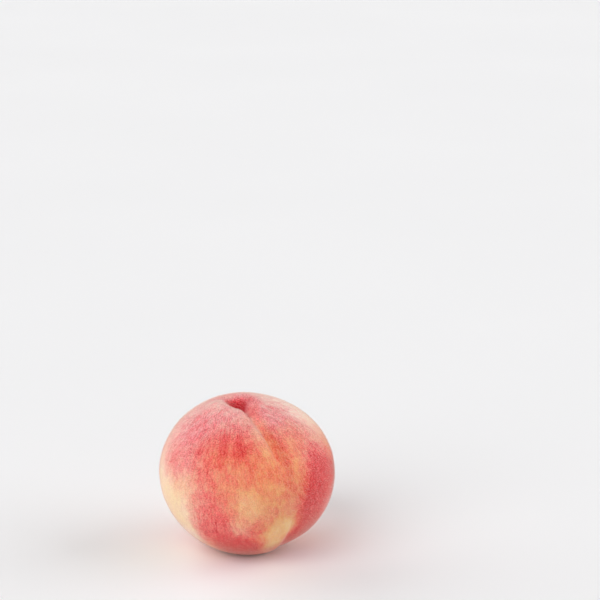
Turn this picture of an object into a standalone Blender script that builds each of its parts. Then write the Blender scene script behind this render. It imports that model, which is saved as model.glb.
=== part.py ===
"""A white peach as picked, resting on a surface.

The fruit grew as one piece and is one solid. Its form is a slightly flattened globe with a funnel
for the stem, two unlike lobes that meet in a groove down the front, and a shallow dimple at the
blossom end. The stem's axis leans, and the fruit stands on a small flat spot beside the dimple.

Units are metres, +Z is up, and the front of the fruit faces -Y. The origin is the middle of the
base of the fruit's bounding box.
"""

import math

import bmesh
import bpy
import numpy as np

MM = 0.001

# The globe that the fruit is shaped from, as it rests: half its width, depth and height.
HALF_WIDTH = 38.1 * MM
HALF_DEPTH = 37.2 * MM
HALF_HEIGHT = 35.1 * MM
LOWER_TAPER = 0.03            # how much narrower the fruit is at the very bottom

# The stem's axis, and the side of the groove that faces the right lobe.
STEM_AXIS = (-0.107, -0.119, 0.987)
TO_RIGHT_LOBE = (0.866, 0.500, 0.155)

# The funnel that the stem grew in, longer in the groove's direction than across it.
FUNNEL_DEPTH = 9.5 * MM
FUNNEL_ALONG = 5.8 * MM
FUNNEL_ACROSS = 3.7 * MM
FUNNEL_SHARPNESS = 1.6        # 2 is a round bowl, and 1 a cone

# The low scar at the funnel's bottom, where the stem came away.
SCAR_RADIUS = 2.2 * MM
SCAR_RISE = 0.9 * MM

# The groove between the lobes. Its depths in mm are given at angles down from the stem, in degrees.
# It also strays from a straight line, towards the right lobe or, below zero, towards the left.
GROOVE_ANGLES = (0, 16, 30, 50, 68, 100, 130, 155, 180)
GROOVE_DEPTHS = (0.0, 2.4, 2.2, 1.4, 0.35, 0.25, 0.8, 0.8, 0.0)
GROOVE_LEFT_SPREAD = 1.8 * MM
GROOVE_RIGHT_SPREAD = 3.8 * MM
GROOVE_LEFT_SHARPNESS = 4.0   # the left flank is a steep fold
GROOVE_RIGHT_SHARPNESS = 2.0  # the right flank slopes gently
GROOVE_START = 6.0 * MM       # it fades in over this distance in front of the stem's axis
STRAY_ANGLES = (0, 24, 65, 95, 112, 132, 180)
STRAYS = (0.0, -1.0, 0.3, 2.0, 1.4, -0.2, 0.0)

# The left lobe stands proud along the groove, and the right lobe falls back from it, in mm. The left
# lobe's rise begins behind the stem's axis, and so hides a part of the funnel from the front.
LOBE_ANGLES = (0, 15, 35, 65, 95, 130, 155, 180)
LEFT_LOBE_RISES = (1.2, 1.8, 1.2, 0.6, 0.3, 0.1, 0.1, 0.1)
RIGHT_LOBE_DROPS = (0.0, 0.2, 0.4, 0.35, 0.15, 0.7, 1.3, 0.3)
LOBE_OFFSET = 7.5 * MM
LOBE_SPREAD = 8.0 * MM
LEFT_LOBE_START = (-10.0 * MM, -2.0 * MM)

# The dimple at the blossom end.
DIMPLE_DEPTH = 1.6 * MM
DIMPLE_SPREAD = 5.0 * MM

# Slow swells that no fruit is without: a direction, a rise in mm, and a spread in degrees.
SWELLS = (
    ((-1.0, -0.2, 0.35), 0.3, 38),
    ((0.9, -0.3, 0.10), 0.3, 35),
    ((0.75, -0.4, -0.55), 0.2, 32),
    ((-0.8, -0.4, -0.55), -0.4, 34),
    ((0.1, 1.0, 0.20), 0.4, 40),
    ((-0.5, 0.8, -0.30), -0.3, 36),
    ((0.35, 0.35, 0.87), -0.7, 28),
    ((-0.35, 0.35, 0.87), 0.1, 28),
)

# The flat spot that the fruit rests on: how much of the round underside it takes.
FOOT_CUT = 1.5 * MM
FOOT_BLEND = 0.2 * MM         # height over which the flat turns up into the round

# The mesh: columns round the fruit, crowded at the groove, and rings, crowded at the stem.
COLUMNS = 76
RINGS = 60
COLUMN_CROWDING = 0.58
RING_CROWDING = 1.25

SKIN_COLOUR = (0.86, 0.42, 0.32, 1.0)
SKIN_ROUGHNESS = 0.75


def clear_scene():
    for found in list(bpy.data.objects):
        bpy.data.objects.remove(found, do_unlink=True)


def unit(vector):
    return np.array(vector) / np.linalg.norm(vector)


def smooth_step(value, low, high):
    t = np.clip((value - low) / (high - low), 0.0, 1.0)
    return t * t * (3.0 - 2.0 * t)


def down_the_side(angle, angles, values):
    """Metres at each angle from the stem, on a smooth run through values in mm at a few angles."""
    total = np.full_like(angle, values[-1])
    for k in reversed(range(len(angles) - 1)):
        step = smooth_step(angle, angles[k], angles[k + 1])
        total = np.where(angle < angles[k + 1], values[k] + (values[k + 1] - values[k]) * step, total)
    return total * MM


def fruit_axes():
    """The fruit's own axes as rows: towards the groove, towards the right lobe, up the stem."""
    stem = unit(STEM_AXIS)
    right = np.array(TO_RIGHT_LOBE)
    right = unit(right - stem * right.dot(stem))
    return np.array((np.cross(right, stem), right, stem))


def globe_point(resting):
    """The plain globe's surface and its outward normal, in directions of the resting fruit."""
    radii = np.array((HALF_WIDTH, HALF_DEPTH, HALF_HEIGHT))
    point = resting * radii
    below = (1.0 - resting[:, 2]) / 2.0
    point[:, :2] *= (1.0 - LOWER_TAPER * below**2)[:, None]
    normal = resting / radii
    return point, normal / np.linalg.norm(normal, axis=1)[:, None]


def swell(resting):
    rise = np.zeros(len(resting))
    for toward, height, spread in SWELLS:
        apart = np.degrees(np.arccos(np.clip(resting @ unit(toward), -1.0, 1.0)))
        rise += height * MM * np.exp(-((apart / spread) ** 2))
    return rise


def lobes_and_groove(ahead, aside, down):
    """Rise of the surface, from how far a point is in front of the stem and beside the groove."""
    aside = aside - down_the_side(down, STRAY_ANGLES, STRAYS)
    left = np.exp(-(((aside + LOBE_OFFSET) / LOBE_SPREAD) ** 2))
    right = np.exp(-(((aside - LOBE_OFFSET) / LOBE_SPREAD) ** 2))
    spread = np.where(aside < 0.0, GROOVE_LEFT_SPREAD, GROOVE_RIGHT_SPREAD)
    sharpness = np.where(aside < 0.0, GROOVE_LEFT_SHARPNESS, GROOVE_RIGHT_SHARPNESS)
    groove = np.exp(-(np.abs(aside / spread) ** sharpness))
    fall = right * down_the_side(down, LOBE_ANGLES, RIGHT_LOBE_DROPS)
    fall += groove * down_the_side(down, GROOVE_ANGLES, GROOVE_DEPTHS)
    rise = left * down_the_side(down, LOBE_ANGLES, LEFT_LOBE_RISES)
    rise *= smooth_step(ahead, *LEFT_LOBE_START)
    return rise - fall * smooth_step(ahead, 0.0, GROOVE_START)


def grown_form(direction):
    """Points of the resting fruit's surface, for unit directions told on the fruit's own axes."""
    axes = fruit_axes()
    resting = direction @ axes
    down = np.degrees(np.arccos(np.clip(direction[:, 2], -1.0, 1.0)))
    point, normal = globe_point(resting)
    own = point @ axes.T
    rise = swell(resting) + lobes_and_groove(own[:, 0], own[:, 1], down)
    point += normal * rise[:, None]

    # Along the stem's axis, the top goes down into the funnel and the bottom up into the dimple.
    own = point @ axes.T
    from_axis = np.hypot(own[:, 0], own[:, 1])
    funnel_reach = np.hypot(own[:, 0] / FUNNEL_ALONG, own[:, 1] / FUNNEL_ACROSS)
    funnel = FUNNEL_DEPTH * np.exp(-(funnel_reach**FUNNEL_SHARPNESS))
    scar = SCAR_RISE * np.exp(-((from_axis / SCAR_RADIUS) ** 4))
    dimple = DIMPLE_DEPTH * np.exp(-((from_axis / DIMPLE_SPREAD) ** 2))
    shift = np.where(direction[:, 2] > 0.0, scar - funnel, dimple)
    return point + shift[:, None] * axes[2]


def stand_on_foot(point):
    """Flattens the underside, which turns up from the flat smoothly, and sets the origin."""
    height = point[:, 2] - point[:, 2].min() - FOOT_CUT
    turning = np.clip(height + FOOT_BLEND, 0.0, 2.0 * FOOT_BLEND) ** 2 / (4.0 * FOOT_BLEND)
    middle = (point.min(axis=0) + point.max(axis=0)) / 2.0
    placed = point - middle
    placed[:, 2] = np.where(height > FOOT_BLEND, height, turning)
    return placed


def crowded(direction):
    """Unit directions of a plain globe, drawn together at the groove and at the stem."""
    around = np.arctan2(direction[:, 1], direction[:, 0])
    around = around - COLUMN_CROWDING * np.sin(around)
    share = np.arccos(np.clip(direction[:, 2], -1.0, 1.0)) / math.pi
    down = math.pi * share**RING_CROWDING
    return np.column_stack(
        (np.sin(down) * np.cos(around), np.sin(down) * np.sin(around), np.cos(down))
    )


def peach_mesh():
    mesh = bpy.data.meshes.new("peach")
    bm = bmesh.new()
    bmesh.ops.create_uvsphere(bm, u_segments=COLUMNS, v_segments=RINGS, radius=1.0)
    globe = np.array([vertex.co.normalized() for vertex in bm.verts])
    for vertex, place in zip(bm.verts, stand_on_foot(grown_form(crowded(globe)))):
        vertex.co = place
    bmesh.ops.triangulate(bm, faces=bm.faces)
    bmesh.ops.recalc_face_normals(bm, faces=bm.faces)
    bm.to_mesh(mesh)
    bm.free()
    mesh.shade_smooth()
    return mesh


def skin_material():
    material = bpy.data.materials.new("peach_skin")
    material.use_nodes = True
    shader = material.node_tree.nodes["Principled BSDF"]
    shader.inputs["Base Color"].default_value = SKIN_COLOUR
    shader.inputs["Roughness"].default_value = SKIN_ROUGHNESS
    shader.inputs["Metallic"].default_value = 0.0
    return material


def main():
    clear_scene()
    bpy.context.scene.unit_settings.system = "METRIC"
    collection = bpy.data.collections.new("white_peach")
    bpy.context.scene.collection.children.link(collection)
    peach = bpy.data.objects.new("peach", peach_mesh())
    peach.data.materials.append(skin_material())
    collection.objects.link(peach)


main()
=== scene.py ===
"""The looks of a white peach: its downy skin, the scar of its stem, and the stage that it stands on.

Units are metres, +Z is up, and the front of the fruit faces -Y. The skin is grown by the same rule as
the solid that it stands for. Its colours are laid on as soft patches, each told by its place on the
fruit: how far round from the groove, and how far down from the stem.
"""

import math

import bpy
import numpy as np
from bpy.props import FloatProperty, FloatVectorProperty, IntProperty, PointerProperty
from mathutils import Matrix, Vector, noise


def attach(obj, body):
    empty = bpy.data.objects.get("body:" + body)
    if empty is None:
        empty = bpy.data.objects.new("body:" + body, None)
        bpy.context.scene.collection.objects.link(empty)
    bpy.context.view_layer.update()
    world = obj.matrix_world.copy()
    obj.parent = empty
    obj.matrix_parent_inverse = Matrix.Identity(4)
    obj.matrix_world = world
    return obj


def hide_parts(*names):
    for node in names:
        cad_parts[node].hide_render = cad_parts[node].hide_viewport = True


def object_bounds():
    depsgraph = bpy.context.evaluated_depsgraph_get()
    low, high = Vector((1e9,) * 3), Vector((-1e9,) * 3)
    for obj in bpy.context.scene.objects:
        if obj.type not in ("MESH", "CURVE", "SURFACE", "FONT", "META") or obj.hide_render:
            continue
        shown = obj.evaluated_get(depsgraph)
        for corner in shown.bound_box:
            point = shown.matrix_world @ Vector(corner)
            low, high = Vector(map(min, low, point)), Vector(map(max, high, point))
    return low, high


bl_info = {
    "name": "White Peach",
    "version": (1, 0, 0),
    "blender": (4, 5, 0),
    "location": "View3D > Sidebar > Peach",
    "description": "Builds a white peach's downy skin, its stem's scar and a plain stage",
    "category": "Object",
}

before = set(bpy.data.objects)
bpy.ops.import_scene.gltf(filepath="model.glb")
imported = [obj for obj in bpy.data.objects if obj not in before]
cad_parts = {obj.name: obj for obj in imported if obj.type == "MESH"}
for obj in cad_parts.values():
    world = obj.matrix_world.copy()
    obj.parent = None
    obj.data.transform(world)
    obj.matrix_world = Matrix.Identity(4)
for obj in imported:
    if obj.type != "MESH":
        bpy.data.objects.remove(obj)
SOLID_LOW, SOLID_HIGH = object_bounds()
MM = 0.001

# The fruit's own form, as in the solid: the stem's axis, and the side of the groove to its right.
STEM_AXIS = (-0.107, -0.119, 0.987)
TO_RIGHT_LOBE = (0.866, 0.500, 0.155)
LOWER_TAPER = 0.03            # how much narrower the fruit is at the very bottom
FUNNEL_SHARPNESS = 1.6        # 2 is a round bowl, and 1 a cone
SCAR_RADIUS = 2.2 * MM        # the low rise at the funnel's bottom
SCAR_RISE = 0.9 * MM
DIMPLE_SPREAD = 5.0 * MM

# The groove between the lobes: how deep it is, how far it strays to the right, and how far the lobes
# stand proud or fall back beside it, in mm, at angles down from the stem, in degrees.
GROOVE_ANGLES = (0, 16, 30, 50, 68, 100, 130, 155, 180)
GROOVE_DEPTHS = (0.0, 2.4, 2.2, 1.4, 0.35, 0.25, 0.8, 0.8, 0.0)
GROOVE_LEFT_SPREAD = 1.8 * MM
GROOVE_RIGHT_SPREAD = 3.8 * MM
GROOVE_LEFT_SHARPNESS = 4.0
GROOVE_RIGHT_SHARPNESS = 2.0
GROOVE_START = 6.0 * MM
STRAY_ANGLES = (0, 24, 65, 95, 112, 132, 180)
STRAYS = (0.0, -1.0, 0.3, 2.0, 1.4, -0.2, 0.0)
LOBE_ANGLES = (0, 15, 35, 65, 95, 130, 155, 180)
LEFT_LOBE_RISES = (1.2, 1.8, 1.2, 0.6, 0.3, 0.1, 0.1, 0.1)
RIGHT_LOBE_DROPS = (0.0, 0.2, 0.4, 0.35, 0.15, 0.7, 1.3, 0.3)
LOBE_OFFSET = 7.5 * MM
LOBE_SPREAD = 8.0 * MM
LEFT_LOBE_START = (-10.0 * MM, -2.0 * MM)

# Slow swells that no fruit is without: a direction, a rise in mm, and a spread in degrees.
SWELLS = (
    ((-1.0, -0.2, 0.35), 0.3, 38),
    ((0.9, -0.3, 0.10), 0.3, 35),
    ((0.75, -0.4, -0.55), 0.2, 32),
    ((-0.8, -0.4, -0.55), -0.4, 34),
    ((0.1, 1.0, 0.20), 0.4, 40),
    ((-0.5, 0.8, -0.30), -0.3, 36),
    ((0.35, 0.35, 0.87), -0.7, 28),
    ((-0.35, 0.35, 0.87), 0.1, 28),
)

# The flat spot that it rests on: how much of the round underside it takes, and how it turns up.
FOOT_CUT = 1.5 * MM
FOOT_BLEND = 0.2 * MM

# How far the columns of faces are drawn together at the groove, and the rings at the stem.
COLUMN_CROWDING = 0.45
RING_CROWDING = 1.15

# The patches of colour. Each has a place, in degrees round from the groove, to the right above zero,
# and in degrees down from the stem; a reach across and along in mm; a turn in degrees; an edge, where
# 2 is soft and 6 is crisp; and an amount. Blush runs from 0, pale, to 1, crimson. Coolness runs from
# 0, yellow and orange, to 1, pink and rose. Each begins from its value all over. The painted shade
# darkens the skin where shade falls, and is painted light, brightening it, where it is below zero.
BLUSH_ALL_OVER = 0.5
COOL_ALL_OVER = 0.2
BLUSHES = (
    ("pale lower left", -96, 101, 17, 20, 0, 5, -0.58),
    ("pale upper left", -126, 46, 15, 22, 0, 3, -0.26),
    ("pale left edge", -108, 69, 5, 7, 0, 3, -0.18),
    ("pale left streaks", -72, 75, 4.5, 10, 0, 3, -0.22),
    ("pale low left", -80, 118, 7, 7, 0, 3, -0.32),
    ("crown, left", -60, 11, 9, 5, 0, 3, -0.18),
    ("crown, before the ridge", -38, 22, 13, 3.6, 0, 3, -0.09),
    ("left shoulder", -94, 36, 13, 9, 0, 3, 0.15),
    ("right of the funnel", 60, 9, 10, 4.5, 0, 3, 0.25),
    ("pale right shoulder", 74, 44, 17, 20, 0, 3, -0.45),
    ("right lobe's top", 44, 28, 7, 6, 0, 3, 0.18),
    ("right lobe", 36, 45, 6, 6, 0, 2, 0.14),
    ("right band, top", 32, 65, 6, 6, 0, 3, 0.17),
    ("right band, upper", 32, 80, 9.5, 9, 0, 3, 0.46),
    ("right band, edge", 61, 93, 11, 16, 12, 2.4, 0.46),
    ("right band, middle", 46, 96, 5.5, 13, 0, 3, 0.26),
    ("right band, lower", 22, 104, 10, 15, 0, 5, 0.60),
    ("under the right lobe", 18, 132, 13, 11, 0, 4, 0.78),
    ("in the groove", 4, 50, 3.5, 16, 0, 3, 0.15),
    ("ridge", -8, 42, 2.6, 12, 0, 3, -0.18),
    ("ridge top", -14, 27, 3.2, 4, 0, 3, -0.03),
    ("left lobe", -34, 43, 11, 8, 0, 3, 0.15),
    ("left lobe's heart", -29, 47, 3.2, 5.5, 0, 3, 0.24),
    ("left lobe, streak", -44, 45, 2.2, 6.5, 0, 3, 0.20),
    ("left lobe, outer", -66, 49, 2.6, 4.5, 0, 2, 0.12),
    ("left lobe, between", -37, 52, 2.2, 4, 0, 2, -0.10),
    ("left lobe, low", -26, 56, 4, 4, 0, 2, 0.09),
    ("left field", -55, 54, 8, 8, 0, 2, 0.12),
    ("left spot", -91, 60, 3, 4, 0, 2, 0.18),
    ("left streaks", -50, 75, 3.5, 4, 0, 2, 0.13),
    ("pale wedge", -28, 88, 5.5, 9, 0, 3, -0.25),
    ("pale wedge, low", -38, 101, 3, 5, 0, 3, -0.14),
    ("pale middle", -14, 86, 7, 9, 0, 3, -0.12),
    ("pale by the groove", 0, 104, 3, 6, 0, 3, -0.12),
    ("lower left", -51, 99, 6.5, 9, 0, 3, 0.26),
    ("lower left, outer", -63, 114, 7, 8, 0, 3, 0.30),
    ("lower left, low", -48, 113, 4, 4, 0, 2, 0.14),
    ("bottom", -40, 130, 10, 11, 0, 4, 0.76),
    # Painted shade: a deeper red under the yellow lip, where the fruit meets the floor.
    ("under the yellow lip", -8, 139, 9, 4.5, 0, 3, 0.32),
    ("yellow lip", -9, 113, 6.5, 9, 15, 5, -0.36),
    ("yellow lip, low", -14, 133, 8.5, 6.5, -25, 4, -0.42),
    ("crown by the ridge", 0, 15, 3.5, 2.5, 0, 3, 0.14),
    ("between the pale patches", -24, 105, 3.5, 4, 0, 2, 0.18),
    ("funnel", 150, 5.5, 3.7, 3.9, 0, 4, 0.75),
    ("back, sunny side", 132, 72, 14, 19, 0, 3, 0.34),
    ("back, shaded side", -168, 82, 12, 15, 20, 3, -0.36),
    ("back, shaded side, low", -150, 102, 8, 12, -15, 3, -0.22),
    ("back, upper", 168, 40, 13, 8, 0, 2, 0.22),
    ("back, lower", 178, 128, 12, 9, 0, 3, 0.30),
    ("back, spot", -138, 74, 4, 6, 0, 2, 0.22),
    ("blossom end", 0, 180, 9, 9, 0, 3, -0.28),
)
COOLS = (
    ("crown", 0, 0, 27, 27, 0, 4, 0.8),
    ("funnel", 6, 10, 8, 5, 0, 3, -0.42),
    ("crown, front left", -42, 14, 9, 5, 0, 3, 0.30),
    ("left side", -98, 52, 17, 17, 0, 4, 0.55),
    ("left streaks", -64, 66, 10, 9, 0, 3, 0.24),
    ("right side", 58, 48, 13, 13, 0, 3, 0.5),
    ("right lobe's top", 50, 25, 11, 6, 0, 3, 0.64),
    ("beyond the funnel", 60, 7, 9, 5, 0, 3, 0.18),
    ("lower left", -60, 95, 12, 14, 0, 4, 0.40),
    ("lower left, low", -36, 113, 8, 10, 0, 3, 0.26),
    ("pale left", -92, 98, 15, 18, 0, 4, 0.15),
    ("middle", -10, 70, 11, 16, 0, 3, -0.2),
    ("yellow lip", -4, 124, 12, 14, 0, 4, -0.80),
    ("right band", 31, 72, 9, 10, 0, 3, 0.48),
    ("right band, lower", 20, 100, 9, 9, 0, 3, 0.32),
    ("groove's top", 9, 22, 6, 5, 0, 3, -0.38),
    ("in the groove", 1, 44, 2.5, 9, 0, 3, -0.4),
    ("bottom", -30, 137, 24, 12, 0, 4, -0.50),
    ("left lobe", -40, 48, 9, 7, 0, 3, -0.14),
    ("low right", 40, 112, 7, 7, 0, 3, 0.4),
    ("pale low left", -78, 122, 8, 7, 0, 3, 0.62),
    ("right edge", 59, 88, 6, 12, 0, 3, -0.50),
    ("under the right lobe", 18, 124, 10, 12, 0, 3, -0.35),
    ("right of the groove", 14, 76, 5, 13, 0, 3, -0.16),
    ("right lobe, upper", 38, 35, 5, 4, 0, 3, -0.14),
    ("beside the ridge", 4, 31, 3, 3, 0, 3, -0.14),
)
# Painted shade: darker skin in the funnel, along the groove's right flank, under the right lobe, low
# at the front and at the foot, where the fruit meets the floor. Below zero it is painted light: a
# brighter right side, and a lighter flank beside the ridge.
PAINTED_SHADES = (
    ("funnel", 125, 4, 3.8, 3.4, 0, 3, 0.26),
    ("groove's right flank", 5, 50, 2.2, 16, 0, 3, 0.09),
    ("ridge's right flank", 0, 27, 3, 5, 0, 3, -0.12),
    ("under the right lobe", 20, 122, 9, 9, 0, 3, 0.07),
    ("lower front", 4, 94, 18, 15, 0, 3, 0.11),
    ("foot", -10, 146, 30, 14, 0, 4, 0.26),
    ("right side", 70, 57, 10, 16, 0, 2, -0.24),
    ("right edge, low", 54, 95, 6, 10, 0, 3, 0.08),
    ("beyond the funnel", 46, 7, 9, 3.5, 0, 3, 0.07),
)
# Where the hairs are sheltered, and so are shorter and take on the colour of the skin round them.
SHELTERS = (
    ("ridge", -5, 44, 4, 24, 0, 4, 0.5),
    ("funnel's lip", -20, 12, 5, 5, 0, 3, 0.7),
    ("under the yellow lip", 4, 128, 7, 12, 0, 3, 1.0),
    ("foot", 0, 152, 44, 18, 0, 4, 1.0),
)
FRUIT_RADIUS = 36.5 * MM

# The middle of the side that the photograph doesn't show, where the patches stray from their shapes;
# the cosines of the angles from it over which that sets in; and for each kind of stray, how close
# together they lie and how far they reach, on a globe of radius 1.
BEHIND = (150, 90)
BEHIND_EDGE = (-0.05, 0.35)
BEHIND_STRAYS = ((2.6, 0.22), (7.0, 0.07))
STRAY_SEED = 3                # not 0, which Blender's noise takes for the time of day

# The ten colours of the skin, from pale to deep, and the amounts of blush that they stand at.
BLUSH_STOPS = (0.0, 0.25, 0.5, 0.75, 1.0)
WARM_COLOURS = ("cream", "apricot", "orange", "scarlet", "crimson")
COOL_COLOURS = ("ivory", "shell", "rose", "cherry", "garnet")

# The noises in the materials. A soft noise is told by how close together its features are, as
# Blender's own scale, by its detail, and by the two levels of it that become 0 and 1.
STREAKS = (850.0, 2.0, 0.33, 0.67)
MOTTLE = (300.0, 2.0, 0.3, 0.7)
GRAIN = (1900.0, 1.0, 0.3, 0.7)
# The noise of the painted glints and painted shade among the down's tufts:
PAINTED_TUFT_LIGHT = (3000.0, 1.0, 0.33, 0.65)
SCAR_FIBRES = (2200.0, 3.0, 0.3, 0.7)
FLOOR_CLOUDS = (3.0, 2.0, 0.2, 0.8)
WRIGGLE_NOISE = {"Scale": 420.0, "Detail": 1.0}
VELVET_NOISE = {"Scale": 1350.0, "Detail": 2.0, "Roughness": 0.6}

# How far those noises show.
STREAK_LENGTH = 3.3           # how many times longer than wide the streaks are
WRIGGLE = 1.1 * MM            # how far the streaks stray to the side
BREAK_EVERYWHERE = 0.2        # how far the blush breaks up on any skin, as a share of its settings
BREAK_HALFWAY = 5.0           # how much further it does between pale and deep
COOL_MOTTLE = 0.12            # how far the coolness breaks up into blotches
# How far the painted glints and painted shade among the down's tufts show:
PAINTED_TUFT_LIGHT_IN_BLUSH = 0.45        # how far the specks show on blushed skin,
PAINTED_TUFT_LIGHT_IN_COOL = 0.6          # on cool skin,
PAINTED_TUFT_LIGHT_ANYWHERE = 0.12        # and on any skin
PAINTED_TUFT_GLINT_WHITE = 0.34            # the white that a speck adds or takes, besides its light and dark
SKIN_ROUGHNESS = (0.62, 0.78)   # from blotch to blotch
VELVET = 0.15 * MM            # how high the fine grain under the down stands
SCAR_RELIEF = 0.2 * MM        # how high the scar's fibres stand
SCAR_SHADE = 0.35             # the scar's dark colour as a share of its light one
CLOUD_SHADE = 0.985           # the same for the floor

# What is the same all over each material.
SKIN_FINISH = {
    "Specular IOR Level": 0.25,
    "Sheen Weight": 0.7,
    "Sheen Roughness": 0.4,
    "Sheen Tint": (1.0, 0.72, 0.60, 1.0),
    "Subsurface Weight": 0.15,
    "Subsurface Radius": (1.0, 0.45, 0.25),
    "Subsurface Scale": 2.0 * MM,
}
DOWN_FINISH = {
    "Roughness": 0.6,
    "Specular IOR Level": 0.3,
    "Subsurface Weight": 0.8,
    "Subsurface Radius": (1.0, 0.8, 0.7),
    "Subsurface Scale": 1.0 * MM,
}
SCAR_FINISH = {"Roughness": 0.9}
FLOOR_FINISH = {"Roughness": 0.9, "Specular IOR Level": 0.0}

# The skin wanders in and out in features of a size in degrees, each kind with its share. It does so
# in full above the second of two heights, and not below the first, where the fruit rests.
RIPPLES = ((16.0, 1.0), (7.0, 0.5))
RIPPLE_START = (2.0 * MM, 6.0 * MM)

# The dry scar: half its width, its faces round and down, and its form in shares of that half width.
SCAR_SIZE = 1.7 * MM
SCAR_FLATNESS = 0.35          # its height as a share of its width
SCAR_FACES = (48, 24)
SCAR_RIBS = 9.0
SCAR_RIB_HEIGHT = 0.05
SCAR_RIB_WANDER = 1.3         # how unevenly the ribs are spaced
SCAR_LUMPS = 3.0              # how close together its lumps are
SCAR_LUMP_HEIGHT = 0.08
SCAR_HOLLOW = 0.55
SCAR_HOLLOW_SPREAD = 0.45

# The down's pieces, each with whether it is on the right and whether it is at the back.
DOWN_PIECES = (
    ("down_front_left", False, False),
    ("down_front_right", True, False),
    ("down_back_right", True, True),
    ("down_back_left", False, True),
)
BARE_FUNNEL = (3.5, 11.0)     # degrees from the stem over which the down sets in
FUNNEL_DOWN = 0.1             # the share of it that is left in the funnel
SWIRL_SIZE = 2.5 * MM         # how far apart its swirls are
OWN_LEAN = 0.5                # how far a hair leans its own way,
SWIRL_LEAN = 1.1              # and how far it leans with the hairs round it
LEAST_UPRIGHT = 0.25          # a hair that would lie flatter than this stands straight up
LENGTH_SPREAD = 0.28          # how unlike the lengths are, as a share of the mean,
LENGTH_LIMITS = (0.4, 1.7)    # and the shares of it that they stay between
SHELTERED_SHORTER = 0.5       # the share of its length that a sheltered hair lacks
TIP_CLEARANCE = 0.02 * MM     # the least height over the floor of a hair's tip,
ROOT_CLEARANCE = 0.05 * MM    # and of its root

# A hair's place across its map tells its tone, from pale at 0 to the root's colour at 1.
TONE_LEAST = 0.02
TONE_DRAWN = 0.28             # how much the draw adds to it,
TONE_SHELTERED = 0.67         # and how much shelter does
TONE_STRENGTH = 0.85          # how far a full tone goes towards the root's colour
TIP_START = 0.8               # the share of its height at which a hair has its tip's colour
MAP_ENDS = (0.01, 0.99)       # where its root and its tip are on the map
MAP_WIDTH = 0.008             # how wide it is there

# The soft lights: a name, the side that it comes from, and how many degrees across it looks.
LIGHTS = (
    ("key", (-0.50, -0.64, 0.58), 50.0),
    ("back_left", (-0.73, 0.55, 0.34), 70.0),
    ("back_right", (0.93, 0.02, 0.37), 60.0),
)
ROOM_COLOUR = (1.0, 0.99, 0.98, 1.0)

# The photograph's frame: its width in pixels, and the pixel that the fruit's middle falls on.
FRAME_WIDTH = 600
FRUIT_PIXEL = (247.1, 473.1)
MIDDLE_DROP = 0.6 * MM        # how far below half its height that middle is
SENSOR = 36.0                 # mm
FARTHEST = 50.0               # how far the camera sees
TINY = 1e-9                   # keeps a division from being by zero


def length_setting(name, description, default):
    return FloatProperty(
        name=name, description=description, default=default, subtype="DISTANCE", unit="LENGTH",
        precision=5,
    )


def amount_setting(name, description, default):
    return FloatProperty(name=name, description=description, default=default, min=0)


def colour_setting(name, description, default):
    return FloatVectorProperty(
        name=name, description=description, default=default, subtype="COLOR", min=0, max=1
    )


class PeachForm(bpy.types.PropertyGroup):
    half_width: length_setting("Half width", "From the middle to the side", 38.1 * MM)
    half_depth: length_setting("Half depth", "From the middle to the front", 37.2 * MM)
    half_height: length_setting("Half height", "From the middle to the top", 35.1 * MM)
    funnel_depth: length_setting("Funnel depth", "How deep the stem's funnel is", 9.5 * MM)
    funnel_along: length_setting("Funnel length", "The funnel's reach along the groove", 5.8 * MM)
    funnel_across: length_setting("Funnel width", "The funnel's reach across the groove", 3.7 * MM)
    dimple_depth: length_setting(
        "Dimple depth", "How deep the dimple at the blossom end is", 1.6 * MM
    )
    unevenness: length_setting("Unevenness", "How far the skin wanders in and out", 0.12 * MM)
    columns: IntProperty(name="Columns", description="Faces round the fruit", default=384, min=32)
    rings: IntProperty(name="Rings", description="Faces from the stem down", default=200, min=16)


class PeachColours(bpy.types.PropertyGroup):
    cream: colour_setting("Cream", "Warm skin that no sun reached", (0.96, 0.72, 0.32))
    apricot: colour_setting("Apricot", "Warm skin with a breath of blush", (0.90, 0.45, 0.185))
    orange: colour_setting("Orange", "Warm skin, half blushed", (0.88, 0.26, 0.12))
    scarlet: colour_setting("Scarlet", "Warm skin with a strong blush", (0.84, 0.12, 0.065))
    crimson: colour_setting("Crimson", "Warm skin at its deepest", (0.73, 0.025, 0.02))
    ivory: colour_setting("Ivory", "Cool skin that no sun reached", (0.96, 0.72, 0.62))
    shell: colour_setting("Shell", "Cool skin with a breath of blush", (0.88, 0.44, 0.40))
    rose: colour_setting("Rose", "Cool skin, half blushed", (0.83, 0.25, 0.26))
    cherry: colour_setting("Cherry", "Cool skin with a strong blush", (0.81, 0.12, 0.14))
    garnet: colour_setting("Garnet", "Cool skin at its deepest", (0.71, 0.025, 0.04))
    streaks: amount_setting("Streaks", "How far the blush breaks up into streaks", 0.20)
    mottle: amount_setting("Mottle", "How far the blush breaks up into blotches", 0.18)
    grain: amount_setting("Grain", "How far the blush breaks up into fine grain", 0.10)
    # Painted glints and painted shade among the down's tufts, as fine light and dark specks.
    velvet: amount_setting("Velvet", "How far the down makes fine light and dark specks", 0.52)
    scar: colour_setting("Scar", "The dry wood where the stem came away", (0.16, 0.09, 0.045))


class PeachDown(bpy.types.PropertyGroup):
    hairs: IntProperty(
        name="Hairs", description="Hairs on each quarter of the fruit", default=48000, min=0
    )
    length: length_setting("Length", "A hair's mean length", 0.55 * MM)
    thickness: length_setting("Thickness", "A hair's width at its root", 0.034 * MM)
    lean: FloatProperty(
        name="Lean", description="How far hairs lean over, where 1 is as far as they stand up",
        default=0.75, min=0, max=3,
    )
    sunk: length_setting("Sunk", "How deep a hair's root is in the skin", 0.04 * MM)
    seed: IntProperty(name="Seed", description="The draw that places the hairs", default=7, min=1)
    root_colour: colour_setting("Root", "A hair's colour near the skin", (0.85, 0.40, 0.31))
    tip_colour: colour_setting("Tip", "A hair's colour at its tip", (1.0, 0.80, 0.68))


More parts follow.
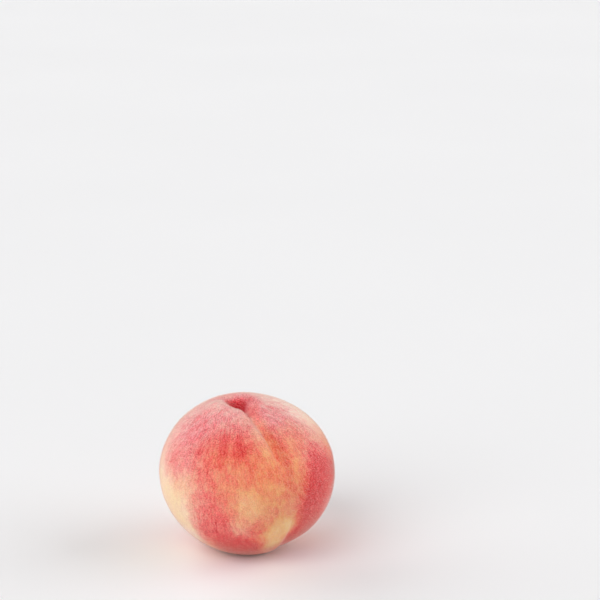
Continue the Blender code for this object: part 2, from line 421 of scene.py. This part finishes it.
class PeachStage(bpy.types.PropertyGroup):
    lens: FloatProperty(
        name="Lens", description="The camera's focal length in mm", default=120.0, min=10
    )
    look_down: FloatProperty(
        name="Look down", description="How far the camera tilts down", subtype="ANGLE",
        unit="ROTATION", default=math.radians(15.05),
    )
    distance: length_setting(
        "Distance", "From the camera to the fruit, along its line of sight", 0.8707
    )
    floor_width: length_setting("Floor width", "The floor's side", 8.0)
    floor_colour: colour_setting("Floor", "The floor's colour", (0.915, 0.915, 0.925))
    key: amount_setting("Key light", "Strength of the soft light from the front left", 1.6)
    back_left: amount_setting(
        "Back left light", "Strength of the soft light from behind the left", 1.5
    )
    back_right: amount_setting(
        "Back right light", "Strength of the soft light from the right, a little behind", 1.7
    )
    sky: amount_setting("Sky", "Light that the white surroundings give", 0.30)
    backdrop: amount_setting(
        "Backdrop", "Brightness of the surroundings beyond the floor", 0.88
    )


def unit(vector):
    return np.array(vector) / np.linalg.norm(vector)


def smooth_step(value, low, high):
    t = np.clip((value - low) / (high - low), 0.0, 1.0)
    return t * t * (3.0 - 2.0 * t)


def down_the_side(angle, angles, values):
    """Metres at each angle from the stem, on a smooth run through values in mm at a few angles."""
    total = np.full_like(angle, values[-1])
    for k in reversed(range(len(angles) - 1)):
        step = smooth_step(angle, angles[k], angles[k + 1])
        total = np.where(angle < angles[k + 1], values[k] + (values[k + 1] - values[k]) * step, total)
    return total * MM


def fruit_axes():
    """The fruit's own axes as rows: towards the groove, towards the right lobe, up the stem."""
    stem = unit(STEM_AXIS)
    right = np.array(TO_RIGHT_LOBE)
    right = unit(right - stem * right.dot(stem))
    return np.array((np.cross(right, stem), right, stem))


def globe_point(form, resting):
    """The plain globe's surface and its outward normal, in directions of the resting fruit."""
    radii = np.array((form.half_width, form.half_depth, form.half_height))
    point = resting * radii
    below = (1.0 - resting[:, 2]) / 2.0
    point[:, :2] *= (1.0 - LOWER_TAPER * below**2)[:, None]
    normal = resting / radii
    return point, normal / np.linalg.norm(normal, axis=1)[:, None]


def swell(resting):
    rise = np.zeros(len(resting))
    for toward, height, spread in SWELLS:
        apart = np.degrees(np.arccos(np.clip(resting @ unit(toward), -1.0, 1.0)))
        rise += height * MM * np.exp(-((apart / spread) ** 2))
    return rise


def lobes_and_groove(ahead, aside, down):
    """Rise of the surface, from how far a point is in front of the stem and beside the groove."""
    aside = aside - down_the_side(down, STRAY_ANGLES, STRAYS)
    left = np.exp(-(((aside + LOBE_OFFSET) / LOBE_SPREAD) ** 2))
    right = np.exp(-(((aside - LOBE_OFFSET) / LOBE_SPREAD) ** 2))
    spread = np.where(aside < 0.0, GROOVE_LEFT_SPREAD, GROOVE_RIGHT_SPREAD)
    sharpness = np.where(aside < 0.0, GROOVE_LEFT_SHARPNESS, GROOVE_RIGHT_SHARPNESS)
    groove = np.exp(-(np.abs(aside / spread) ** sharpness))
    fall = right * down_the_side(down, LOBE_ANGLES, RIGHT_LOBE_DROPS)
    fall += groove * down_the_side(down, GROOVE_ANGLES, GROOVE_DEPTHS)
    rise = left * down_the_side(down, LOBE_ANGLES, LEFT_LOBE_RISES)
    rise *= smooth_step(ahead, *LEFT_LOBE_START)
    return rise - fall * smooth_step(ahead, 0.0, GROOVE_START)


def angle_down(direction):
    return np.degrees(np.arccos(np.clip(direction[:, 2], -1.0, 1.0)))


def grown_form(form, direction):
    """Points of the resting fruit's surface, for unit directions told on the fruit's own axes."""
    axes = fruit_axes()
    resting = direction @ axes
    point, normal = globe_point(form, resting)
    own = point @ axes.T
    rise = swell(resting) + lobes_and_groove(own[:, 0], own[:, 1], angle_down(direction))
    point += normal * rise[:, None]

    # Along the stem's axis, the top goes down into the funnel and the bottom up into the dimple.
    own = point @ axes.T
    from_axis = np.hypot(own[:, 0], own[:, 1])
    funnel_reach = np.hypot(own[:, 0] / form.funnel_along, own[:, 1] / form.funnel_across)
    funnel = form.funnel_depth * np.exp(-(funnel_reach**FUNNEL_SHARPNESS))
    scar = SCAR_RISE * np.exp(-((from_axis / SCAR_RADIUS) ** 4))
    dimple = form.dimple_depth * np.exp(-((from_axis / DIMPLE_SPREAD) ** 2))
    shift = np.where(direction[:, 2] > 0.0, scar - funnel, dimple)
    return point + shift[:, None] * axes[2]


def stand_on_foot(point):
    """Flattens the underside, which turns up from the flat smoothly, and sets the origin."""
    height = point[:, 2] - point[:, 2].min() - FOOT_CUT
    turning = np.clip(height + FOOT_BLEND, 0.0, 2.0 * FOOT_BLEND) ** 2 / (4.0 * FOOT_BLEND)
    middle = (point.min(axis=0) + point.max(axis=0)) / 2.0
    placed = point - middle
    placed[:, 2] = np.where(height > FOOT_BLEND, height, turning)
    return placed


def crowded(direction):
    """Unit directions of a plain globe, drawn together at the groove and at the stem."""
    around = np.arctan2(direction[:, 1], direction[:, 0])
    around = around - COLUMN_CROWDING * np.sin(around)
    share = np.arccos(np.clip(direction[:, 2], -1.0, 1.0)) / math.pi
    down = math.pi * share**RING_CROWDING
    return np.column_stack(
        (np.sin(down) * np.cos(around), np.sin(down) * np.sin(around), np.cos(down))
    )


def wandering(direction, size):
    """Smooth noise from -1 to 1 at each direction, with features of the given size in degrees."""
    closeness = math.degrees(1.0) / size
    return np.array([noise.noise(Vector(place) * closeness) for place in direction])


def own_direction(beside, down):
    """The unit direction of a place told in degrees round from the groove and down from the stem."""
    beside, down = math.radians(beside), math.radians(down)
    return np.array(
        (math.sin(down) * math.cos(beside), math.sin(down) * math.sin(beside), math.cos(down))
    )


def patch(direction, beside, down, across, along, turn, edge):
    """From 1 at a patch's middle to 0 outside it, on the fruit's own unit directions."""
    middle = own_direction(beside, down)
    away = np.arccos(np.clip(direction @ middle, -1.0, 1.0)) * FRUIT_RADIUS
    # At the stem itself, the right lobe's side stands for the patch's own right.
    right = unit(np.cross((0.0, 0.0, 1.0), middle)) if down > 0 else np.array((0.0, 1.0, 0.0))
    below = np.cross(right, middle)
    sideways, downwards = direction @ right, direction @ below
    flat = np.hypot(sideways, downwards) + TINY
    sideways, downwards = away * sideways / flat, away * downwards / flat
    turn = math.radians(turn)
    x = sideways * math.cos(turn) + downwards * math.sin(turn)
    y = downwards * math.cos(turn) - sideways * math.sin(turn)
    return np.exp(-(np.hypot(x / (across * MM), y / (along * MM)) ** edge))


def coverage(direction, patches):
    total = np.zeros(len(direction))
    for _, beside, down, across, along, turn, edge, amount in patches:
        total += amount * patch(direction, beside, down, across, along, turn, edge)
    return total


def deselect_all():
    bpy.ops.object.select_all(action="DESELECT")


def feed(tree, socket, value):
    """Gives a node's input another node's output, or a plain value."""
    if isinstance(value, bpy.types.NodeSocket):
        tree.links.new(value, socket)
    else:
        socket.default_value = value


def node(tree, kind, inputs=None, **settings):
    """Adds a node, sets its inputs from sockets or plain values, and returns it."""
    made = tree.nodes.new(kind)
    for key, value in settings.items():
        setattr(made, key, value)
    for key, value in (inputs or {}).items():
        feed(tree, made.inputs[key], value)
    return made


def maths(tree, operation, a, b=0.0, clamp=False):
    return node(tree, "ShaderNodeMath", {0: a, 1: b}, operation=operation, use_clamp=clamp).outputs[0]


def vector_maths(tree, operation, a, b):
    """A vector worked out from two vectors, or from a vector and a number to scale it by."""
    second = 3 if operation == "SCALE" else 1
    return node(tree, "ShaderNodeVectorMath", {0: a, second: b}, operation=operation).outputs[0]


def both_ways(tree, pattern, amount):
    """A pattern from 0 to 1 made to run as far below zero as above it, times an amount."""
    return maths(tree, "MULTIPLY", maths(tree, "SUBTRACT", pattern, 0.5), amount)


def blended(tree, share, a, b):
    """A colour between two, by the share of the second."""
    made = node(tree, "ShaderNodeMix", {0: share}, data_type="RGBA", blend_type="MIX")
    colours = [socket for socket in made.inputs if socket.type == "RGBA"]
    feed(tree, colours[0], a)
    feed(tree, colours[1], b)
    return [socket for socket in made.outputs if socket.type == "RGBA"][0]


def opaque(colour):
    return (*colour, 1.0)


def soft_noise_group():
    """A node group: smooth noise at a place, spread to run from 0 to 1 between two levels."""
    found = bpy.data.node_groups.get("Soft Noise")
    if found:
        return found
    group = bpy.data.node_groups.new("Soft Noise", "ShaderNodeTree")
    inputs = (
        ("Vector", "NodeSocketVector", None),
        ("Scale", "NodeSocketFloat", 5.0),
        ("Detail", "NodeSocketFloat", 2.0),
        ("Low", "NodeSocketFloat", 0.3),
        ("High", "NodeSocketFloat", 0.7),
    )
    for name, kind, value in inputs:
        socket = group.interface.new_socket(name, in_out="INPUT", socket_type=kind)
        if value is not None:
            socket.default_value = value
    group.interface.new_socket("Value", in_out="OUTPUT", socket_type="NodeSocketFloat")
    given = group.nodes.new("NodeGroupInput").outputs
    grain = node(
        group, "ShaderNodeTexNoise",
        {"Vector": given["Vector"], "Scale": given["Scale"], "Detail": given["Detail"]},
    )
    spread = node(
        group, "ShaderNodeMapRange",
        {"Value": grain.outputs[0], "From Min": given["Low"], "From Max": given["High"]},
        interpolation_type="SMOOTHSTEP",
    )
    result = group.nodes.new("NodeGroupOutput")
    group.links.new(spread.outputs[0], result.inputs["Value"])
    return group


def soft_noise(tree, place, scale, detail, low, high):
    inputs = {"Vector": place, "Scale": scale, "Detail": detail, "Low": low, "High": high}
    return node(tree, "ShaderNodeGroup", inputs, node_tree=soft_noise_group()).outputs[0]


def ramp(tree, share, positions, colours):
    """A colour on a smooth run through colours at a few positions from 0 to 1."""
    made = node(tree, "ShaderNodeValToRGB", {0: share})
    elements = made.color_ramp.elements
    while len(elements) < len(positions):
        elements.new(0.5)
    for element, position, colour in zip(elements, positions, colours):
        element.position = position
        element.color = opaque(colour)
    return made.outputs[0]


def raised(tree, shader, height, distance, strength=1.0):
    """Gives a surface a fine relief, as high as a distance where the height is 1."""
    bump = node(
        tree, "ShaderNodeBump", {"Strength": strength, "Distance": distance, "Height": height}
    )
    tree.links.new(bump.outputs[0], shader.inputs["Normal"])


def new_material(name, finish):
    """A material, its node tree and its shader, with what is the same all over it set."""
    material = bpy.data.materials.new(name)
    material.use_nodes = True
    shader = material.node_tree.nodes["Principled BSDF"]
    for key, value in finish.items():
        shader.inputs[key].default_value = value
    return material, material.node_tree, shader


def skin_material(colours):
    material, tree, shader = new_material("peach_skin", SKIN_FINISH)
    place = node(tree, "ShaderNodeTexCoord").outputs["Object"]
    run = node(tree, "ShaderNodeAttribute", attribute_name="run").outputs["Vector"]
    blush, cool, dusk, downy = (
        node(tree, "ShaderNodeAttribute", attribute_name=name).outputs["Fac"]
        for name in ("blush", "cool", "dusk", "downy")
    )

    # The streaks run from the stem down, and wriggle.
    drift = node(tree, "ShaderNodeTexNoise", {"Vector": place, **WRIGGLE_NOISE}).outputs["Color"]
    drift = vector_maths(tree, "SUBTRACT", drift, (0.5, 0.5, 0.5))
    run = vector_maths(tree, "ADD", run, vector_maths(tree, "SCALE", drift, WRIGGLE))
    streaks = soft_noise(tree, run, *STREAKS)
    mottle = soft_noise(tree, place, *MOTTLE)
    grain = soft_noise(tree, place, *GRAIN)

    # The blush breaks up, most of all where it is neither pale nor deep, and where pale skin is pink.
    uneven = both_ways(tree, streaks, colours.streaks)
    for pattern, amount in ((mottle, colours.mottle), (grain, colours.grain)):
        uneven = maths(tree, "ADD", uneven, both_ways(tree, pattern, amount))
    paleness = maths(tree, "SUBTRACT", 1.0, blush)
    halfway = maths(tree, "MULTIPLY", maths(tree, "MULTIPLY", blush, blush), paleness, clamp=True)
    frosted = maths(tree, "MULTIPLY", cool, paleness, clamp=True)
    frosted = maths(tree, "MULTIPLY", frosted, frosted)
    spread = maths(tree, "MULTIPLY", halfway, BREAK_HALFWAY)
    spread = maths(tree, "ADD", maths(tree, "ADD", spread, BREAK_EVERYWHERE), frosted)
    blush = maths(tree, "ADD", blush, maths(tree, "MULTIPLY", uneven, spread), clamp=True)
    cool = maths(tree, "ADD", cool, both_ways(tree, mottle, COOL_MOTTLE), clamp=True)
    warm = ramp(tree, blush, BLUSH_STOPS, [getattr(colours, name) for name in WARM_COLOURS])
    cold = ramp(tree, blush, BLUSH_STOPS, [getattr(colours, name) for name in COOL_COLOURS])
    skin = blended(tree, cool, warm, cold)

    # Light and dark specks where the down stands in tufts: painted glints and painted shade among its
    # hairs. They show least on the palest skin.
    showing = maths(tree, "MULTIPLY", blush, PAINTED_TUFT_LIGHT_IN_BLUSH)
    showing = maths(tree, "ADD", showing, maths(tree, "MULTIPLY", cool, PAINTED_TUFT_LIGHT_IN_COOL))
    showing = maths(tree, "MULTIPLY", maths(tree, "ADD", showing, PAINTED_TUFT_LIGHT_ANYWHERE), colours.velvet)
    painted_tuft_light = both_ways(tree, soft_noise(tree, place, *PAINTED_TUFT_LIGHT), showing)
    painted_tuft_light = maths(tree, "MULTIPLY", painted_tuft_light, downy)
    # The painted shade darkens the colour, and the tufts' painted glints and shade lighten and darken
    # it.
    painted_light_level = maths(tree, "SUBTRACT", maths(tree, "ADD", painted_tuft_light, 1.0), dusk)
    painted_tuft_glint = vector_maths(tree, "SCALE", (PAINTED_TUFT_GLINT_WHITE,) * 3, painted_tuft_light)
    skin = vector_maths(tree, "ADD", vector_maths(tree, "SCALE", skin, painted_light_level), painted_tuft_glint)
    skin = vector_maths(tree, "MAXIMUM", skin, (0.0, 0.0, 0.0))
    tree.links.new(skin, shader.inputs["Base Color"])

    rough = node(
        tree, "ShaderNodeMapRange",
        {"Value": mottle, "To Min": SKIN_ROUGHNESS[0], "To Max": SKIN_ROUGHNESS[1]},
    )
    tree.links.new(rough.outputs[0], shader.inputs["Roughness"])
    velvet = node(tree, "ShaderNodeTexNoise", {"Vector": place, **VELVET_NOISE}).outputs[0]
    raised(tree, shader, velvet, VELVET)
    return material


def down_material(down):
    """Hairs are told by their own map: across it from hair to hair, and up it from root to tip."""
    material, tree, shader = new_material("peach_down", DOWN_FINISH)
    along = node(tree, "ShaderNodeUVMap", uv_map="OFBake").outputs[0]
    parts = node(tree, "ShaderNodeSeparateXYZ", {0: along})
    rise = ramp(tree, parts.outputs["Y"], (0.0, TIP_START), (down.root_colour, down.tip_colour))
    tone = maths(tree, "MULTIPLY", parts.outputs["X"], TONE_STRENGTH)
    colour = blended(tree, tone, rise, opaque(down.root_colour))
    tree.links.new(colour, shader.inputs["Base Color"])
    return material


def scar_material(colours):
    material, tree, shader = new_material("stem_scar", SCAR_FINISH)
    place = node(tree, "ShaderNodeTexCoord").outputs["Object"]
    fibres = soft_noise(tree, place, *SCAR_FIBRES)
    dark = [channel * SCAR_SHADE for channel in colours.scar]
    tree.links.new(ramp(tree, fibres, (0.0, 1.0), (dark, colours.scar)), shader.inputs["Base Color"])
    raised(tree, shader, fibres, SCAR_RELIEF, strength=0.8)
    return material


def floor_material(stage):
    material, tree, shader = new_material("floor", FLOOR_FINISH)
    place = node(tree, "ShaderNodeTexCoord").outputs["Object"]
    clouds = soft_noise(tree, place, *FLOOR_CLOUDS)
    dim = [channel * CLOUD_SHADE for channel in stage.floor_colour]
    colour = ramp(tree, clouds, (0.0, 1.0), (dim, stage.floor_colour))
    tree.links.new(colour, shader.inputs["Base Color"])
    return material


def add_field(mesh, name, values, kind="FLOAT", key="value"):
    """Stores a number, or a vector, on each of a mesh's points."""
    attribute = mesh.attributes.new(name, kind, "POINT")
    attribute.data.foreach_set(key, values.astype(np.float32).ravel())


def field(mesh, name):
    values = np.empty(len(mesh.vertices), np.float32)
    mesh.attributes[name].data.foreach_get("value", values)
    return values


def coordinates(mesh):
    flat = np.empty(len(mesh.vertices) * 3, np.float32)
    mesh.vertices.foreach_get("co", flat)
    return flat.reshape(-1, 3).astype(float)


def paint_skin(mesh, direction):
    """Stores the patches of colour, and the way that streaks run, on the skin's points."""
    behind = smooth_step(direction @ own_direction(*BEHIND), *BEHIND_EDGE)
    noise.seed_set(STRAY_SEED)
    strayed = direction.copy()
    for closeness, reach in BEHIND_STRAYS:
        swirl = np.array([noise.noise_vector(Vector(place) * closeness) for place in direction])
        strayed += swirl * (behind * reach)[:, None]
    strayed /= np.linalg.norm(strayed, axis=1)[:, None]
    add_field(mesh, "blush", BLUSH_ALL_OVER + coverage(strayed, BLUSHES))
    add_field(mesh, "cool", COOL_ALL_OVER + coverage(strayed, COOLS))
    # The painted shade, which darkens the skin's colour where shade falls, and brightens it as painted
    # light below zero.
    add_field(mesh, "dusk", coverage(direction, PAINTED_SHADES))
    add_field(mesh, "sheltered", np.clip(coverage(direction, SHELTERS), 0.0, 1.0))
    outside = smooth_step(angle_down(direction), *BARE_FUNNEL)
    add_field(mesh, "downy", FUNNEL_DOWN + (1.0 - FUNNEL_DOWN) * outside)
    around = np.arctan2(direction[:, 1], direction[:, 0])
    down = np.radians(angle_down(direction))
    run = np.column_stack((np.cos(around), np.sin(around), down / STREAK_LENGTH)) * FRUIT_RADIUS
    add_field(mesh, "run", run, "FLOAT_VECTOR", "vector")


def new_ball(context, name, columns, rings):
    """A round ball of radius 1, to be shaped into a piece, and its points."""
    deselect_all()
    bpy.ops.mesh.primitive_uv_sphere_add(segments=columns, ring_count=rings, radius=1.0)
    piece = context.active_object
    piece.name = piece.data.name = name
    piece.data.uv_layers[0].name = "OFBake"
    return piece, coordinates(piece.data)


def shape(piece, place, material):
    """Moves a piece's points to their places, smooths it and gives it its material."""
    piece.data.vertices.foreach_set("co", place.astype(np.float32).ravel())
    piece.data.shade_smooth()
    piece.data.update()
    piece.data.materials.append(material)


class PEACH_OT_skin(bpy.types.Operator):
    """Grows the skin, with its funnel, groove, lobes and foot, and lays its colours on"""

    bl_idname = "peach.skin"
    bl_label = "Skin"

    def execute(self, context):
        form = context.scene.peach_form
        skin, globe = new_ball(context, "peach_skin", form.columns, form.rings)
        direction = crowded(globe / np.linalg.norm(globe, axis=1)[:, None])
        point = grown_form(form, direction)
        out = direction @ fruit_axes()
        ripple = sum(share * wandering(direction, size) for size, share in RIPPLES)
        ripple *= smooth_step(point[:, 2] - point[:, 2].min(), *RIPPLE_START)
        point += out * (ripple * form.unevenness)[:, None]
        place = stand_on_foot(point)
        paint_skin(skin.data, direction)
        shape(skin, place, skin_material(context.scene.peach_colours))
        skin["funnel_bottom"] = place[direction[:, 2].argmax()].tolist()
        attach(skin, "root")
        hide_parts("peach")
        return {"FINISHED"}


class PEACH_OT_scar(bpy.types.Operator):
    """Sets the dry, ribbed scar of the stem into the funnel's bottom"""

    bl_idname = "peach.scar"
    bl_label = "Stem's scar"

    def execute(self, context):
        scar, ball = new_ball(context, "stem_scar", *SCAR_FACES)
        around = np.arctan2(ball[:, 1], ball[:, 0])
        out = np.hypot(ball[:, 0], ball[:, 1])
        rib = SCAR_RIBS * around + SCAR_RIB_WANDER * np.sin(2.0 * around)
        lumps = np.array([noise.noise(Vector(place) * SCAR_LUMPS) for place in ball])
        lumps *= SCAR_LUMP_HEIGHT
        wide = 1.0 + SCAR_RIB_HEIGHT * np.sin(rib) * out + lumps
        hollow = SCAR_HOLLOW * np.exp(-((out / SCAR_HOLLOW_SPREAD) ** 2))
        tall = ball[:, 2] * (1.0 + lumps) - np.where(ball[:, 2] > 0.0, hollow, 0.0)
        own = np.column_stack((ball[:, 0] * wide, ball[:, 1] * wide, tall * SCAR_FLATNESS)) * SCAR_SIZE
        place = np.array(bpy.data.objects["peach_skin"]["funnel_bottom"]) + own @ fruit_axes()
        shape(scar, place, scar_material(context.scene.peach_colours))
        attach(scar, "root")
        return {"FINISHED"}


def one_hair(context):
    """A three-sided spike, one unit tall and one across, standing at the origin."""
    deselect_all()
    bpy.ops.mesh.primitive_cone_add(
        vertices=3, radius1=0.5, radius2=0.0, depth=1.0, end_fill_type="NGON",
        location=(0.0, 0.0, 0.5),
    )
    bpy.ops.object.transform_apply(location=True, rotation=True, scale=True)
    hair = context.active_object
    corners = coordinates(hair.data)
    faces = [tuple(face.vertices) for face in hair.data.polygons]
    bpy.data.objects.remove(hair, do_unlink=True)
    return corners, faces


def triangles(mesh):
    """A mesh's faces as rows of three points, in an order that is the same in each run.

    Blender's own order of a ball's faces isn't, and the draw of the hairs' places goes by it.
    """
    found = []
    for face in mesh.polygons:
        ring = list(face.vertices)
        first = ring.index(min(ring))
        ring = ring[first:] + ring[:first]
        found += [(ring[0], ring[k], ring[k + 1]) for k in range(1, len(ring) - 1)]
    return np.array(sorted(found))


def outward(place, corner):
    """The unit normal at each point, from the triangles round it."""
    a, b, c = (place[corner[:, k]] for k in range(3))
    facing = np.cross(b - a, c - a)
    normal = np.zeros_like(place)
    for k in range(3):
        np.add.at(normal, corner[:, k], facing)
    return normal / np.linalg.norm(normal, axis=1)[:, None]


def rooted(mesh, on_right, at_back, count, draw):
    """Random places on one quarter of the skin, its normals there, and how sheltered they are.

    The funnel is nearly bare.
    """
    corner = triangles(mesh)
    place = coordinates(mesh)
    normal = outward(place, corner)
    middle = place[corner].mean(axis=1)
    inside = ((middle[:, 0] >= 0.0) == on_right) & ((middle[:, 1] >= 0.0) == at_back)
    corner = corner[inside]
    a, b, c = (place[corner[:, k]] for k in range(3))
    downy, sheltered = (field(mesh, name) for name in ("downy", "sheltered"))
    share = np.linalg.norm(np.cross(b - a, c - a), axis=1) * downy[corner].mean(axis=1)
    chosen = corner[draw.choice(len(corner), size=count, p=share / share.sum())]
    weight = draw.dirichlet((1.0, 1.0, 1.0), size=count)
    root = (place[chosen] * weight[:, :, None]).sum(axis=1)
    out = (normal[chosen] * weight[:, :, None]).sum(axis=1)
    sheltered = (sheltered[chosen] * weight).sum(axis=1)
    return root, out / np.linalg.norm(out, axis=1)[:, None], sheltered


def leaning(roots, down, draw):
    """Each hair's base, its two sides, where it points, its height and how sheltered it is."""
    root, out, sheltered = roots
    count = len(root)
    loose = draw.normal(size=(count, 3))
    swirl = np.array([noise.noise_vector(Vector(place) / SWIRL_SIZE) for place in root])
    toward = out + down.lean * (OWN_LEAN * loose + SWIRL_LEAN * swirl)
    toward /= np.linalg.norm(toward, axis=1)[:, None]
    lying = (toward * out).sum(axis=1) < LEAST_UPRIGHT
    toward[lying] = out[lying]
    length = down.length * np.clip(draw.normal(1.0, LENGTH_SPREAD, count), *LENGTH_LIMITS)
    length *= 1.0 - SHELTERED_SHORTER * sheltered
    side = np.cross(toward, draw.normal(size=(count, 3)))
    side /= np.linalg.norm(side, axis=1)[:, None]
    other = np.cross(toward, side)
    base = root - toward * down.sunk
    tall = length + down.sunk
    keep = (root + toward * length[:, None])[:, 2] > TIP_CLEARANCE
    keep &= root[:, 2] > ROOT_CLEARANCE
    return [values[keep] for values in (base, side, other, toward, tall, sheltered)]


def hair_mesh(name, corners, faces, hairs, thickness, draw):
    """One closed mesh of copies of a hair, each at its own place and with its own tone."""
    base, side, other, toward, tall, sheltered = hairs
    count = len(base)
    points = (
        base[:, None, :]
        + side[:, None, :] * (corners[None, :, 0:1] * thickness)
        + other[:, None, :] * (corners[None, :, 1:2] * thickness)
        + toward[:, None, :] * (corners[None, :, 2:3] * tall[:, None, None])
    )
    mesh = bpy.data.meshes.new(name)
    loop_corner = np.array([corner for face in faces for corner in face])
    loops = (np.arange(count)[:, None] * len(corners) + loop_corner[None, :]).ravel()
    mesh.vertices.add(count * len(corners))
    mesh.vertices.foreach_set("co", points.astype(np.float32).ravel())
    mesh.loops.add(len(loops))
    mesh.loops.foreach_set("vertex_index", loops.astype(np.int32))
    mesh.polygons.add(count * len(faces))
    sizes = np.tile([len(face) for face in faces], count)
    starts = np.concatenate(((0,), np.cumsum(sizes)[:-1]))
    mesh.polygons.foreach_set("loop_start", starts.astype(np.int32))
    tone = TONE_LEAST + TONE_DRAWN * draw.uniform(0.0, 1.0, count) + TONE_SHELTERED * sheltered
    layer = mesh.uv_layers.new(name="OFBake")
    across = tone[:, None] + MAP_WIDTH * corners[None, loop_corner, 0]
    along = np.clip(corners[loop_corner, 2], *MAP_ENDS) + MAP_WIDTH * corners[loop_corner, 1]
    spots = np.stack((across, np.broadcast_to(along, across.shape)), axis=2)
    layer.data.foreach_set("uv", spots.astype(np.float32).ravel())
    mesh.update(calc_edges=True)
    return mesh


class PEACH_OT_down(bpy.types.Operator):
    """Covers the skin with short pale hairs, one piece for each quarter of the fruit"""

    bl_idname = "peach.down"
    bl_label = "Down"

    def execute(self, context):
        down = context.scene.peach_down
        skin = bpy.data.objects["peach_skin"].data
        corners, faces = one_hair(context)
        material = down_material(down)
        draw = np.random.default_rng(down.seed)
        noise.seed_set(down.seed)
        for name, on_right, at_back in DOWN_PIECES:
            roots = rooted(skin, on_right, at_back, down.hairs, draw)
            hairs = leaning(roots, down, draw)
            mesh = hair_mesh(name, corners, faces, hairs, down.thickness, draw)
            piece = bpy.data.objects.new(name, mesh)
            context.collection.objects.link(piece)
            piece.data.materials.append(material)
            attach(piece, "root")
        return {"FINISHED"}


class PEACH_OT_stage(bpy.types.Operator):
    """Lays the pale floor, and sets the lights, the surroundings and the camera"""

    bl_idname = "peach.stage"
    bl_label = "Stage"

    def execute(self, context):
        stage = context.scene.peach_stage
        deselect_all()
        bpy.ops.mesh.primitive_plane_add(size=stage.floor_width, location=(0.0, 0.0, 0.0))
        floor = context.active_object
        floor.name = "floor"
        floor.data.materials.append(floor_material(stage))
        for name, source, spread in LIGHTS:
            self.add_light(context, name, source, spread, getattr(stage, name))
        self.set_surroundings(context, stage)
        self.set_camera(context, stage)
        context.scene.view_settings.view_transform = "Standard"
        return {"FINISHED"}

    def add_light(self, context, name, source, spread, strength):
        bpy.ops.object.light_add(type="SUN", location=source)
        light = context.active_object
        light.name = name + "_light"
        light.data.angle = math.radians(spread)
        light.data.energy = strength
        light.rotation_euler = (-Vector(source)).to_track_quat("-Z", "Y").to_euler()

    def set_surroundings(self, context, stage):
        world = bpy.data.worlds.new("white_room")
        world.use_nodes = True
        tree = world.node_tree
        background = tree.nodes["Background"]
        background.inputs["Color"].default_value = ROOM_COLOUR
        seen = node(tree, "ShaderNodeLightPath").outputs["Is Camera Ray"]
        strength = maths(tree, "MULTIPLY", seen, stage.backdrop - stage.sky)
        strength = maths(tree, "ADD", strength, stage.sky)
        tree.links.new(strength, background.inputs["Strength"])
        context.scene.world = world

    def set_camera(self, context, stage):
        """Sets the fruit's middle at its pixel of the photograph, by the camera's own axes."""
        focal = stage.lens / SENSOR * FRAME_WIDTH
        right = Vector((1.0, 0.0, 0.0))
        forward = Vector((0.0, math.cos(stage.look_down), -math.sin(stage.look_down)))
        up = right.cross(forward)
        ray = forward + right * (FRUIT_PIXEL[0] - FRAME_WIDTH / 2) / focal
        ray -= up * (FRUIT_PIXEL[1] - FRAME_WIDTH / 2) / focal
        middle = Vector((0.0, 0.0, SOLID_HIGH.z / 2.0 - MIDDLE_DROP))
        bpy.ops.object.camera_add(location=middle - ray * stage.distance)
        camera = context.active_object
        camera.rotation_euler = (math.pi / 2 - stage.look_down, 0.0, 0.0)
        camera.data.lens = stage.lens
        camera.data.sensor_width = SENSOR
        camera.data.clip_end = FARTHEST
        context.scene.camera = camera


class PEACH_PT_panel(bpy.types.Panel):
    """The fruit's sizes and colours, and a button for each group of pieces"""

    bl_label = "White Peach"
    bl_idname = "PEACH_PT_panel"
    bl_space_type = "VIEW_3D"
    bl_region_type = "UI"
    bl_category = "Peach"

    def draw(self, context):
        for label, key, operator in PANEL_ROWS:
            box = self.layout.box()
            box.label(text=label)
            settings = getattr(context.scene, key)
            for name in settings.bl_rna.properties.keys():
                if name not in ("rna_type", "name"):
                    box.prop(settings, name)
            box.operator(operator)


PANEL_ROWS = (
    ("Form", "peach_form", "peach.skin"),
    ("Colours", "peach_colours", "peach.scar"),
    ("Down", "peach_down", "peach.down"),
    ("Stage", "peach_stage", "peach.stage"),
)
SETTINGS = (
    ("peach_form", PeachForm),
    ("peach_colours", PeachColours),
    ("peach_down", PeachDown),
    ("peach_stage", PeachStage),
)
OPERATORS = (PEACH_OT_skin, PEACH_OT_scar, PEACH_OT_down, PEACH_OT_stage)


def register():
    for key, group in SETTINGS:
        bpy.utils.register_class(group)
        setattr(bpy.types.Scene, key, PointerProperty(type=group))
    for operator in OPERATORS:
        bpy.utils.register_class(operator)
    bpy.utils.register_class(PEACH_PT_panel)


def unregister():
    bpy.utils.unregister_class(PEACH_PT_panel)
    for operator in reversed(OPERATORS):
        bpy.utils.unregister_class(operator)
    for key, group in reversed(SETTINGS):
        delattr(bpy.types.Scene, key)
        bpy.utils.unregister_class(group)


def main():
    register()
    bpy.ops.peach.skin()
    bpy.ops.peach.scar()
    bpy.ops.peach.down()
    bpy.ops.peach.stage()


if __name__ == "__main__":
    main()
